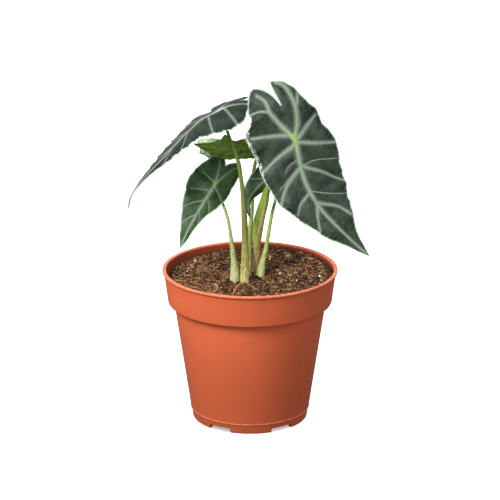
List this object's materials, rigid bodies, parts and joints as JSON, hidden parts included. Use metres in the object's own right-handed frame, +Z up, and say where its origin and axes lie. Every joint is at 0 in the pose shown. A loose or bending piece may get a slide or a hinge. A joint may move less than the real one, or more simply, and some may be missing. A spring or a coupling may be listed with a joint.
{
  "type": "potted alocasia",
  "caption": "Arrow-leaved foliage plant with silver-veined dark leaves in a tapered plastic nursery pot filled with potting mix.",
  "frame": {"origin": "centre of the flat underside of the pot, on the plane it stands on", "axes": "+Z up along the pot's axis, +X to the plant's large leaf, -Y to the front"},
  "size_m": [0.162, 0.12, 0.2419],
  "materials": {
    "terracotta_plastic": "satin moulded terracotta-coloured plastic",
    "potting_mix": "moist coir and peat crumbs with fibres and white perlite grains",
    "crown_skin": "dull brown rhizome skin",
    "dark_leaf": "semi-gloss dark green blade with silver veins",
    "olive_underside": "satin olive green blade underside with purple-brown mottling",
    "pale_leaf": "satin pale silvery green young blade",
    "stem_skin": "satin olive green stalk skin with fine brown mottling",
    "fresh_sheath": "satin fresh green sheath edge",
    "dry_sheath": "dry red-brown papery sheath",
    "bark": "dry curled bark"
  },
  "bodies": {
    "root": {"pot": "terracotta_plastic", "soil": "potting_mix", "crown": "crown_skin", "left_leaf": "dark_leaf", "right_leaf": "dark_leaf", "low_leaf": "dark_leaf", "small_leaf": "dark_leaf", "olive_leaf": "olive_underside", "back_leaf": "pale_leaf", "left_stem": "stem_skin", "right_stem": "stem_skin", "low_stem": "stem_skin", "small_stem": "stem_skin", "olive_stem": "stem_skin", "back_stem": "stem_skin", "green_sheath": "fresh_sheath", "dry_sheath": "dry_sheath", "bark_front": "bark", "bark_left": "bark"}
  },
  "joints": []
}
